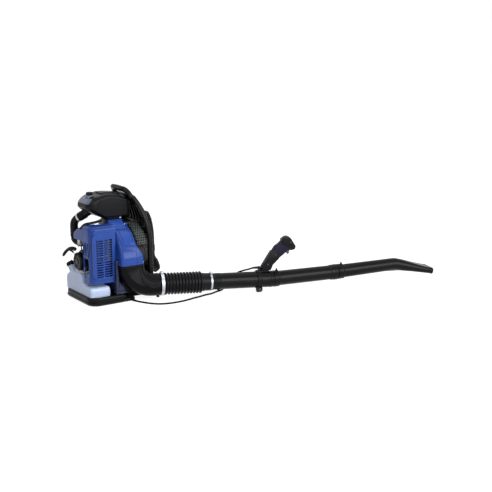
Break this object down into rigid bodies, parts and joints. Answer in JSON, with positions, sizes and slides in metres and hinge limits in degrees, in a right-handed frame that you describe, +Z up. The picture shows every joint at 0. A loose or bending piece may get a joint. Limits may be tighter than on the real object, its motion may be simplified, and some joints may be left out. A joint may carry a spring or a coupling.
{
  "type": "backpack leaf blower",
  "caption": "Petrol backpack leaf blower: engine and fan on a carrying frame, translucent fuel tank, flexible hose and blow tube with a trigger grip and flat nozzle.",
  "frame": {"origin": "middle of the base's underside, on the floor", "axes": "+X towards the wearer's front and the nozzle, +Y to the wearer's left, +Z up"},
  "size_m": [1.761, 0.8636, 0.5455],
  "materials": {
    "black_plastic": "fine-grained moulded plastic",
    "gloss_black_plastic": "smooth moulded plastic",
    "blue_black_plastic": "glossy tinted plastic",
    "grip_plastic": "fine-grained plastic",
    "blue_plastic": "glossy moulded plastic",
    "tank_plastic": "translucent blow-moulded plastic",
    "hose_rubber": "ribbed rubber",
    "mount_rubber": "matt rubber",
    "bulb_rubber": "soft rubber",
    "line_rubber": "fuel hose",
    "pad_foam": "covered foam",
    "strap_webbing": "padded webbing",
    "bright_steel": "zinc-plated",
    "shaft_steel": "ground",
    "spring_steel": "rolled",
    "cast_aluminium": "as cast",
    "muffler_metal": "heat-proof paint",
    "plug_steel": "plated",
    "red_plastic": "smooth moulded plastic",
    "filter_paper": "pleated paper",
    "rope_fibre": "braided cord",
    "nylon": "moulded nylon"
  },
  "bodies": {
    "machine": {"base_frame": "black_plastic", "back_frame": "black_plastic", "housing_screws": "bright_steel", "back_pad": "pad_foam", "shoulder_strap_left": "strap_webbing", "shoulder_strap_right": "strap_webbing", "strap_buckles": "black_plastic", "av_mounts": "mount_rubber", "fan_housing_rear": "blue_plastic", "fan_housing_front": "black_plastic", "crankcase_front": "cast_aluminium", "crankcase_rear": "cast_aluminium", "main_bearings": "bright_steel", "connecting_rod": "shaft_steel", "piston": "cast_aluminium", "cylinder": "cast_aluminium", "spark_plug": "plug_steel", "ht_lead": "hose_rubber", "ignition_coil": "black_plastic", "muffler": "muffler_metal", "carburettor": "cast_aluminium", "intake_elbow": "black_plastic", "intake_hose": "hose_rubber", "hose_clamps": "bright_steel", "filter_base": "black_plastic", "filter_cover": "blue_black_plastic", "filter_element": "filter_paper", "engine_cover": "blue_plastic", "starter_housing": "black_plastic", "recoil_spring": "spring_steel", "starter_rope": "rope_fibre", "fuel_tank": "tank_plastic", "fuel_lines": "line_rubber", "outlet_elbow": "black_plastic", "throttle_cable_lower": "hose_rubber"},
    "crank": {"crankshaft": "shaft_steel", "flywheel": "cast_aluminium", "impeller": "cast_aluminium", "crank_nuts": "bright_steel", "big_end_bearing": "bright_steel"},
    "rope_pulley": {"starter_pulley": "nylon"},
    "rope_handle": {"starter_grip": "black_plastic"},
    "tank_cap": {"fuel_cap": "black_plastic"},
    "cover_knob": {"filter_knob": "black_plastic"},
    "choke": {"choke_lever": "black_plastic"},
    "throttle_shaft": {"throttle_arm": "bright_steel"},
    "primer": {"primer_bulb": "bulb_rubber"},
    "hose": {"flexible_hose": "hose_rubber"},
    "blow_tube": {"tube_1": "gloss_black_plastic", "tube_clamp": "bright_steel", "grip_bracket": "black_plastic", "grip_shell_left": "grip_plastic", "grip_shell_right": "grip_plastic", "grip_screws": "bright_steel", "throttle_cable_upper": "hose_rubber"},
    "second_tube": {"tube_2": "gloss_black_plastic"},
    "flat_nozzle": {"nozzle": "gloss_black_plastic"},
    "trigger": {"throttle_trigger": "black_plastic"},
    "cruise": {"cruise_lever": "red_plastic"},
    "stop_button": {"stop_switch": "red_plastic"}
  },
  "joints": [
    {"name": "crank_spin", "type": "hinge", "parent": "machine", "child": "crank", "pos_m": [0, 0, 0.195], "axis": [1, 0, 0], "continuous": true},
    {"name": "rope_pull", "type": "slide", "parent": "machine", "child": "rope_handle", "axis": [-0.6012, 0.4008, 0.6913], "range_m": [0, 0.45], "stiffness_N_per_m": 20, "springref_m": -0.4, "deforming": ["starter_rope"]},
    {"name": "pulley_turn", "type": "hinge", "parent": "machine", "child": "rope_pulley", "pos_m": [-0.166, 0, 0.195], "axis": [1, 0, 0], "range_deg": [-870, 0]},
    {"name": "fuel_cap_turn", "type": "hinge", "parent": "machine", "child": "tank_cap", "pos_m": [-0.146, 0.112, 0.12], "axis": [0, 0.5878, 0.809], "range_deg": [0, 270]},
    {"name": "knob_turn", "type": "hinge", "parent": "machine", "child": "cover_knob", "pos_m": [-0.1, 0, 0.515], "axis": [0, 0, 1], "range_deg": [0, 360]},
    {"name": "choke_swing", "type": "hinge", "parent": "machine", "child": "choke", "pos_m": [-0.123, 0.06755, 0.272], "axis": [0.866, 0.5, 0], "range_deg": [-60, 0]},
    {"name": "throttle_swing", "type": "hinge", "parent": "machine", "child": "throttle_shaft", "pos_m": [-0.118, 0.05889, 0.272], "axis": [0.866, 0.5, 0], "range_deg": [-46, 0]},
    {"name": "primer_press", "type": "slide", "parent": "machine", "child": "primer", "axis": [0.866, 0.5, 0], "range_m": [0, 0.004], "stiffness_N_per_m": 400, "springref_m": -0.001, "deforming": ["primer_bulb"]},
    {"name": "tube_yaw", "type": "hinge", "parent": "machine", "child": "hose", "pos_m": [0.2233, -0.21474, 0.07422], "axis": [0, 0, 1], "range_deg": [-30, 30], "deforming": ["flexible_hose", "throttle_cable_lower"]},
    {"name": "tube_pitch", "type": "hinge", "parent": "hose", "child": "blow_tube", "pos_m": [0.31156, -0.24393, 0.07146], "axis": [0.314, 0.9494, 0], "range_deg": [-40, 25], "deforming": ["throttle_cable_upper"]},
    {"name": "tube_2_twist", "type": "hinge", "parent": "blow_tube", "child": "second_tube", "pos_m": [0.69781, -0.37167, 0.05939], "axis": [0.949, -0.3139, -0.0297], "range_deg": [0, 20]},
    {"name": "nozzle_twist", "type": "hinge", "parent": "second_tube", "child": "flat_nozzle", "pos_m": [1.0252, -0.47995, 0.07022], "axis": [0.949, -0.3138, 0.0314], "range_deg": [0, 20]},
    {"name": "trigger_pull", "type": "hinge", "parent": "blow_tube", "child": "trigger", "pos_m": [0.77254, -0.39639, 0.21712], "axis": [0.314, 0.9494, 0], "range_deg": [0, 18], "stiffness_Nm_per_rad": 0.25, "springref_deg": -17.19},
    {"name": "cruise_swing", "type": "hinge", "parent": "blow_tube", "child": "cruise", "pos_m": [0.75259, -0.36872, 0.22995], "axis": [0.314, 0.9494, 0], "range_deg": [0, 60]},
    {"name": "stop_press", "type": "slide", "parent": "blow_tube", "child": "stop_button", "axis": [0.314, 0.9494, 0], "range_m": [0, 0.003], "stiffness_N_per_m": 500, "springref_m": -0.001}
  ],
  "couplings": [
    {"joint": "pulley_turn", "follows": "rope_pull", "rad_per_m": -33.333},
    {"joint": "throttle_swing", "follows": "trigger_pull", "ratio": -2.5}
  ]
}
